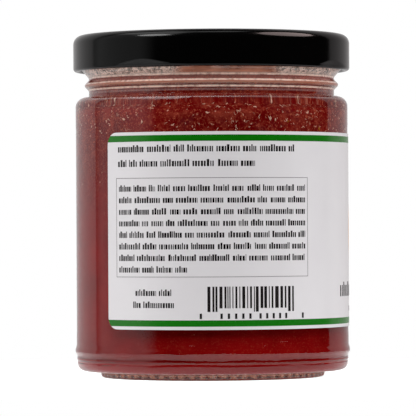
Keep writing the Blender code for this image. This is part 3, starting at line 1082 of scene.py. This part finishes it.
# %% Material: varnished paper
def make_paper():
    made, tree, place = new_material("varnished_white_paper")
    fibre = noise(tree, place, 0.35 * MM, detail=4.0, roughness=0.6)
    cloud = noise(tree, place, 9 * MM, detail=2.0)
    show(tree, principled(tree, {
        "Base Color": mix_colour(tree, cloud, linear("#e9e5e8"), linear("#eeebed")),
        "Roughness": 0.22,
        "IOR": 1.5,
        "Normal": bumped(tree, fibre, 0.08, 0.02 * MM),
    }))
    return made


paper = make_paper()


# %% Make the label
def corner_cut(distance):
    """How far a round corner brings one edge in, at a distance from the other edge."""
    if distance >= LABEL_CORNER:
        return 0.0
    return LABEL_CORNER - math.sqrt(max(0.0, LABEL_CORNER**2 - (LABEL_CORNER - distance) ** 2))


def label_columns():
    """Distances from the label's start, closer together at its round corners."""
    quarters = [math.pi / 2 * i / CORNER_COLUMNS for i in range(CORNER_COLUMNS + 1)]
    corner = [LABEL_CORNER * (1 - math.cos(quarter)) for quarter in quarters]
    plain = np.linspace(LABEL_CORNER, LABEL_LENGTH - LABEL_CORNER, LABEL_COLUMNS)[1:-1]
    return corner + list(plain) + [LABEL_LENGTH - place for place in reversed(corner)]


def cross_section(along, inner, outer, low, high):
    """The four corners of a bent strip where it is cut across."""
    corners = ((inner, low), (outer, low), (outer, high), (inner, high))
    return [wrap(along, height, radius) for radius, height in corners]


def strip_faces(first, cuts):
    """The faces between a number of cuts through a strip, closed at both ends."""
    faces = []
    for base in range(first, first + 4 * (cuts - 1), 4):
        for a in range(4):
            b = (a + 1) % 4
            faces.append((base + a, base + 4 + a, base + 4 + b, base + b))
    last = first + 4 * (cuts - 1)
    return faces + [(first, first + 1, first + 2, first + 3), (last + 3, last + 2, last + 1, last)]


def make_label():
    points = []
    for place in label_columns():
        inset = corner_cut(min(place, LABEL_LENGTH - place))
        along = LABEL_LEFT + place
        points += cross_section(along, LABEL_INNER, LABEL_OUTER, LABEL_LOW + inset, LABEL_TOP - inset)
    piece = new_piece("label_paper", points, strip_faces(0, len(points) // 4), paper)
    piece.data.shade_smooth()
    piece.data.set_sharp_from_angle(angle=LABEL_CREASE)
    return piece


label_paper = make_label()
finish_piece(label_paper, "label_paper", "label")

# %% [markdown]
# ## Print
# Ink lies on the paper as a film. Each printed field here is a very thin slab bent round the label, so
# its edges stay sharp at any distance.

# %% Ink slabs
INK_BELOW = 0.01 * MM
INK_ABOVE = 0.015 * MM
LONGEST_STRETCH = 1.5 * MM


class Ink:
    """Collects slabs of one ink and makes them one piece. A higher layer is printed over a lower one."""

    def __init__(self, name, code, layer=0):
        self.name = name
        self.code = code
        self.inner = LABEL_OUTER - INK_BELOW
        self.outer = LABEL_OUTER + INK_ABOVE * (1 + layer)
        self.points = []
        self.faces = []

    def outline(self, ring):
        """A slab with an outline of points, each a distance along the label and a height."""
        twice_area = sum(a[0] * b[1] - b[0] * a[1] for a, b in zip(ring, ring[1:] + ring[:1]))
        if twice_area < 0:
            ring = ring[::-1]
        first = len(self.points)
        count = len(ring)
        for radius in (self.inner, self.outer):
            self.points += [wrap(along, height, radius) for along, height in ring]
        self.faces.append([first + count + i for i in range(count)])
        self.faces.append([first + i for i in reversed(range(count))])
        for i in range(count):
            j = (i + 1) % count
            self.faces.append((first + i, first + j, first + count + j, first + count + i))

    def bar(self, left, right, low, high):
        """A straight-sided slab, cut into short stretches so that it follows the label's bend."""
        steps = max(1, math.ceil((right - left) / LONGEST_STRETCH))
        self.faces += strip_faces(len(self.points), steps + 1)
        for i in range(steps + 1):
            along = left + (right - left) * i / steps
            self.points += cross_section(along, self.inner, self.outer, low, high)

    def make(self):
        """Makes the piece. The ink is a little paler where it lies thin."""
        made, tree, place = new_material(self.name)
        coverage = remap(tree, noise(tree, place, 0.5 * MM), 0.35, 0.65)
        full = linear(self.code)
        thin = [min(1.0, channel * 1.12 + 0.002) for channel in full[:3]] + [1.0]
        show(tree, principled(tree, {
            "Base Color": mix_colour(tree, coverage, full, thin), "Roughness": 0.25, "IOR": 1.5,
        }))
        finish_piece(new_piece("print_" + self.name, self.points, self.faces, made), "label_paper")


green = Ink("green_ink", "#0a6e06")
black = Ink("black_ink", "#1c1819")
grey = Ink("grey_ink", "#8d878a")
orange = Ink("apricot_ink", "#e9b283")
red = Ink("red_ink", "#a31712", layer=1)
leaf_green = Ink("leaf_green_ink", "#3f7d2c", layer=2)

# %% [markdown]
# Two green bands run along the label's upper and lower edge and stop where the label ends.

# %% Green bands
BAND_MARGIN = 0.84 * MM
BAND_HEIGHT = 1.62 * MM
BAND_END_STRIPS = 10
BAND_INSET = 0.02 * MM


def add_band(edge, sign):
    """A band beside an edge of the label. Its ends follow the round corners, and sign is the way inwards."""
    near = BAND_MARGIN
    far = BAND_MARGIN + BAND_HEIGHT
    low, high = sorted((edge + sign * near, edge + sign * far))
    green.bar(LABEL_LEFT + LABEL_CORNER, LABEL_RIGHT - LABEL_CORNER, low, high)
    places = np.linspace(corner_cut(far), LABEL_CORNER, BAND_END_STRIPS + 1)
    for first, second in zip(places, places[1:]):
        cuts = [min(far, max(near, corner_cut(place) + BAND_INSET)) for place in (first, second)]
        for end, inwards in ((LABEL_LEFT, 1), (LABEL_RIGHT, -1)):
            left, right = end + inwards * first, end + inwards * second
            green.outline([
                (left, edge + sign * far), (right, edge + sign * far),
                (right, edge + sign * cuts[1]), (left, edge + sign * cuts[0]),
            ])


add_band(LABEL_TOP, -1)
add_band(LABEL_LOW, 1)

# %% [markdown]
# Plain blocks fill the rows of the panel. A row is cut into groups, and a group into blocks of uneven
# width, some a little taller. From a step away a row has the grey of a page, and close up it is only a
# pattern. A seeded draw picks every width, so the rows come out the same each time.

# %% Rows of blocks
BLOCK_WIDTHS = (0.26 * MM, 0.64 * MM)
BLOCK_GAPS = (0.18 * MM, 0.3 * MM)
BLOCK_HEIGHT = 1.38 * MM
TALL_BLOCK = 1.8 * MM
TALL_SHARE = 0.2
GROUP_WIDTHS = (1.9 * MM, 9.0 * MM)
GROUP_SPACE = 0.85 * MM
BOLD_GAP = 0.7
chance = random.Random(20)


def print_group(ink, left, right, low, bold, scale):
    """Blocks side by side from left to right, closer together where the group is bold."""
    while right - left > BLOCK_WIDTHS[0] * scale / 2:
        end = min(right, left + chance.uniform(*BLOCK_WIDTHS) * scale)
        height = TALL_BLOCK if chance.random() < TALL_SHARE else BLOCK_HEIGHT
        ink.bar(left, end, low, low + height * scale)
        left = end + chance.uniform(*BLOCK_GAPS) * scale * (BOLD_GAP if bold else 1.0)


def print_row(ink, left, right, low, bold_groups=(), scale=1.0):
    """Groups of blocks between two distances along the label."""
    narrowest, widest = (width * scale for width in GROUP_WIDTHS)
    space = GROUP_SPACE * scale
    group = 0
    while right - left > space:
        end = min(right, left + chance.uniform(narrowest, widest))
        if right - end < space + narrowest:
            end = right
        print_group(ink, left, end, low, group in bold_groups, scale)
        left = end + space
        group += 1


# %% Panel of blocks
ROWS_LEFT = -26.4 * MM
FIRST_ROW = 58.85 * MM
FIRST_ROW_RIGHT = 22.9 * MM
SECOND_ROW = 55.1 * MM
SECOND_ROW_RIGHT = 11.2 * MM
BOX_SIDE = 27.1 * MM
BOX_TOP = 52.25 * MM
BOX_LOW = 26.75 * MM
BOX_LINE = 0.16 * MM
BOX_ROWS = 8
BOX_FIRST_ROW = 48.75 * MM
BOX_ROW_STEP = 2.97 * MM
BOX_ROWS_SIDE = 26.15 * MM
BOX_LAST_RIGHT = -6.5 * MM
CORNER_MIDDLE = -15.8 * MM
# The height of each row in the corner, and half its width
CORNER_ROWS = ((22.0 * MM, 5.1 * MM), (18.9 * MM, 5.8 * MM))
BOX_SCALE = 0.92

print_row(black, ROWS_LEFT, FIRST_ROW_RIGHT, FIRST_ROW, bold_groups=(0,))
print_row(black, ROWS_LEFT, SECOND_ROW_RIGHT, SECOND_ROW)
for row in range(BOX_ROWS):
    right = BOX_ROWS_SIDE if row < BOX_ROWS - 1 else BOX_LAST_RIGHT
    bold = (0, 1) if row == 0 else (chance.randint(1, 4),)
    print_row(black, -BOX_ROWS_SIDE, right, BOX_FIRST_ROW - row * BOX_ROW_STEP, bold, BOX_SCALE)
for low in (BOX_LOW, BOX_TOP - BOX_LINE):
    grey.bar(-BOX_SIDE, BOX_SIDE, low, low + BOX_LINE)
for left in (-BOX_SIDE, BOX_SIDE - BOX_LINE):
    grey.bar(left, left + BOX_LINE, BOX_LOW + BOX_LINE, BOX_TOP - BOX_LINE)
for low, side in CORNER_ROWS:
    print_row(black, CORNER_MIDDLE - side, CORNER_MIDDLE + side, low, scale=BOX_SCALE)

# %% [markdown]
# The bars are only a pattern too. Their widths come from the same seeded draw, so they hold no number.
# A row of single small blocks stands below them.

# %% Bars
BARS_LEFT = -1.3 * MM
BARS_RIGHT = 23.0 * MM
BAR_STEP = 0.256 * MM
BARS_TOP = 24.35 * MM
BARS_LOW = 18.8 * MM
LONG_BARS_LOW = 17.9 * MM
MARKS_LOW = 16.1 * MM
MARK_SIDE = 0.3 * MM
# The middle of the first mark of each run, the step between marks, and their count
MARK_RUNS = ((2.3 * MM, 1.87 * MM, 5), (12.5 * MM, 1.84 * MM, 5), (-3.0 * MM, 0.0, 1), (25.2 * MM, 0.0, 1))


def print_bars():
    """Bars of uneven width, a few of them longer at both ends and in the middle."""
    along = BARS_LEFT
    while along < BARS_RIGHT - BAR_STEP:
        width = BAR_STEP * chance.choice((1, 2, 2, 3, 4))
        share = (along - BARS_LEFT) / (BARS_RIGHT - BARS_LEFT)
        is_long = share < 0.1 or share > 0.88 or 0.48 < share < 0.53
        low = LONG_BARS_LOW if is_long else BARS_LOW
        black.bar(along, min(along + width, BARS_RIGHT), low, BARS_TOP)
        along += width + BAR_STEP * chance.choice((1, 2, 2, 2))


print_bars()
for start, step, count in MARK_RUNS:
    for i in range(count):
        middle = start + step * i
        black.bar(middle - MARK_SIDE, middle + MARK_SIDE, MARKS_LOW, MARKS_LOW + BLOCK_HEIGHT)

# %% [markdown]
# The front of the label is round the corner, at the right. It gets a plain design of our own: a round
# apricot field with a simple berry, and two rows of the same blocks.

# %% Front panel
FRONT = 61.8 * MM
FIELD_HEIGHT = 38.0 * MM
FIELD_RADIUS = 9.4 * MM
BERRY_HEIGHT = 36.8 * MM
BERRY_SIZE = (4.6 * MM, 5.4 * MM)
LEAF_SIZE = (1.7 * MM, 0.95 * MM)
# How far along each leaf is from the middle, and its height
LEAVES = ((-2.6 * MM, 41.82 * MM), (0.0, 42.6 * MM), (2.6 * MM, 41.82 * MM))
DISC_STRIPS = 24
TITLE_LOW = 21.3 * MM
TITLE_SIDE = 19.4 * MM
TITLE_SCALE = 2.1
UNDER_TITLE_LOW = 17.3 * MM
UNDER_TITLE_SIDE = 9.0 * MM


def disc(ink, along, height, radius_along, radius_up):
    """A round or oval field, laid in narrow upright strips so that it follows the label's bend."""
    angles = [-math.pi / 2 + math.pi * i / DISC_STRIPS for i in range(DISC_STRIPS + 1)]
    for i, (a, b) in enumerate(zip(angles, angles[1:])):
        left, right = along + radius_along * math.sin(a), along + radius_along * math.sin(b)
        reach_left, reach_right = radius_up * math.cos(a), radius_up * math.cos(b)
        ring = [(left, height - reach_left), (right, height - reach_right)]
        ring += [(right, height + reach_right), (left, height + reach_left)]
        if i == 0:
            ring = ring[:3]
        if i == DISC_STRIPS - 1:
            ring = [ring[0], ring[1], ring[3]]
        ink.outline(ring)


disc(orange, FRONT, FIELD_HEIGHT, FIELD_RADIUS, FIELD_RADIUS)
disc(red, FRONT, BERRY_HEIGHT, *BERRY_SIZE)
for shift, height in LEAVES:
    disc(leaf_green, FRONT + shift, height, *LEAF_SIZE)
print_row(black, FRONT - TITLE_SIDE, FRONT + TITLE_SIDE, TITLE_LOW, scale=TITLE_SCALE)
print_row(black, FRONT - UNDER_TITLE_SIDE, FRONT + UNDER_TITLE_SIDE, UNDER_TITLE_LOW)
for ink in (green, black, grey, orange, red, leaf_green):
    ink.make()

# %% [markdown]
# ## Studio
# The jar stands on a small round card against white, with a dark room in front of it. Glass and lacquer
# show what is round them. So the pale bands at the jar's sides are the white behind it, the dark middle
# is the dark room, and the grey band at the left is a large dim panel. The world paints these by
# direction: azimuth from -Y towards +X, and elevation.

# %% World
WHITE_FROM = 0.42
WHITE_TO = 0.45
# Each panel: its azimuths and elevations in degrees, how soft its edge is, and its radiance
PANELS = [
    ((-113, -54), (-35, 49), 7.0, 0.6),
    ((-120, -38), (47, 78), 5.0, 2.7),
    ((-60, 90), (73, 88), 2.0, 2.2),
]


def make_world():
    world = bpy.data.worlds.new("white_behind_dark_in_front")
    world.use_nodes = True
    tree = world.node_tree
    tree.nodes.clear()
    direction = add(tree, "ShaderNodeTexCoord").outputs["Generated"]
    across, behind, up = add(tree, "ShaderNodeSeparateXYZ", None, {0: direction}).outputs
    azimuth = maths(tree, "ARCTAN2", across, maths(tree, "MULTIPLY", behind, -1.0))
    elevation = maths(tree, "ARCSINE", up)
    white = mix_colour(tree, remap(tree, across, -0.2, 0.6), linear("#d4d2d2"), linear("#b7b2b2"))
    colour = mix_colour(tree, remap(tree, behind, WHITE_FROM, WHITE_TO), linear("#050505"), white)
    for azimuths, elevations, soft, radiance in PANELS:
        inside = [
            between(tree, angle, math.radians(low), math.radians(high), math.radians(soft))
            for angle, (low, high) in ((azimuth, azimuths), (elevation, elevations))
        ]
        colour = mix_colour(tree, maths(tree, "MULTIPLY", *inside), colour, [radiance] * 3 + [1.0])
    room = add(tree, "ShaderNodeBackground", None, {"Color": colour})
    seen = add(tree, "ShaderNodeBackground", None, {"Color": linear("#ffffff"), "Strength": 1.0})
    path = add(tree, "ShaderNodeLightPath")
    both = mix_shaders(tree, path.outputs["Is Camera Ray"], room, seen)
    add(tree, "ShaderNodeOutputWorld", None, {"Surface": both.outputs[0]})
    bpy.context.scene.world = world


make_world()

# %% [markdown]
# Area lamps add the light that the world leaves out. Most of them are hidden from reflections, so they
# only brighten paper and jam. One of these is low and narrow, to reach under the lid's edge, and light
# linking keeps it to the glass, where it brings out the hazy glass and the scuffs of the neck with their
# painted highlights.
#
# The three round ones show in the lid, and are kept to it. A photographer sets two of them so that a
# bright streak runs along the lid's corner, and lays the third low at the left, where it brings out the
# lug that is pressed into the skirt.

# %% Lamps
LIT_HEIGHT = 45 * MM


def lamp(name, azimuth, elevation, width, height, radiance, only_on=None, tint="#ffffff", distance=1.0):
    """A soft lamp that faces the jar. One that lights only the lid is round and shows in it."""
    data = bpy.data.lights.new(name, "AREA")
    data.shape = "ELLIPSE" if only_on == lid_shell else "RECTANGLE"
    data.color = linear(tint)[:3]
    data.size = width
    data.size_y = height
    data.energy = math.pi * width * height * radiance
    turned = math.radians(azimuth)
    raised = math.radians(elevation)
    level = math.cos(raised)
    away = Vector((level * math.sin(turned), -level * math.cos(turned), math.sin(raised)))
    box = bpy.data.objects.new(name, data)
    box.location = Vector((0, 0, LIT_HEIGHT)) + away * distance
    box.rotation_euler = away.to_track_quat("Z", "Y").to_euler()
    box.visible_camera = False
    box.visible_glossy = only_on == lid_shell
    bpy.context.scene.collection.objects.link(box)
    if only_on:
        lit = bpy.data.collections.new("lit_by_" + name)
        lit.objects.link(only_on)
        box.light_linking.receiver_collection = lit


lamp("front_fill", 0, 40, 1.2, 0.6, 3.27)
lamp("right_fill", 88, 12, 0.6, 0.8, 4.0)
lamp("left_fill", -88, 12, 0.6, 0.8, 1.4)
lamp("table_lamp", 180, 80, 1.0, 1.0, 0.8)
lamp("neck_fill", 0, 0, 1.2, 0.14, 5.0, only_on=jar_glass)
lamp("left_streak_box", -55, 40.5, 0.45, 0.3, 11.0, only_on=lid_shell)
lamp("right_streak_box", 80, 44, 0.8, 0.68, 6.9, only_on=lid_shell, tint="#ffe7e4")
lamp("low_card", -49, -12, 0.13, 0.09, 0.75, only_on=lid_shell, distance=0.12)

# %% [markdown]
# The jar stands on a round white card. The card ends close to the jar: that is why the glass mirrors it
# low down only. It is lit a little by itself, so that the shadow under the jar stays pale, and it gives
# less light to the paper and the jam than a real one would, which keeps the label even.

# %% Floor
FLOOR_RADIUS = 130 * MM
FLOOR_THICK = 0.1 * MM
FLOOR_COLUMNS = 96


def make_floor():
    made, tree, place = new_material("lit_white_card")
    colour = mix_colour(tree, noise(tree, place, 60 * MM), linear("#f6f6f6"), linear("#fafafa"))
    path = add(tree, "ShaderNodeLightPath")
    bright = principled(tree, {
        "Base Color": colour,
        "Roughness": 0.6,
        "Specular IOR Level": 0.2,
        "Emission Color": linear("#ffffff"),
        "Emission Strength": maths(tree, "MULTIPLY_ADD", path.outputs["Is Camera Ray"], 0.75, 0.1),
    })
    dim = add(tree, "ShaderNodeBsdfDiffuse", None, {"Color": linear("#a6a6a6")})
    show(tree, mix_shaders(tree, path.outputs["Is Diffuse Ray"], bright, dim))
    profile = [(0, -FLOOR_THICK), (FLOOR_RADIUS, -FLOOR_THICK), (FLOOR_RADIUS, 0), (0, 0)]
    floor = turn("floor", profile, FLOOR_COLUMNS, made)


make_floor()
bpy.context.scene.view_settings.view_transform = "Standard"
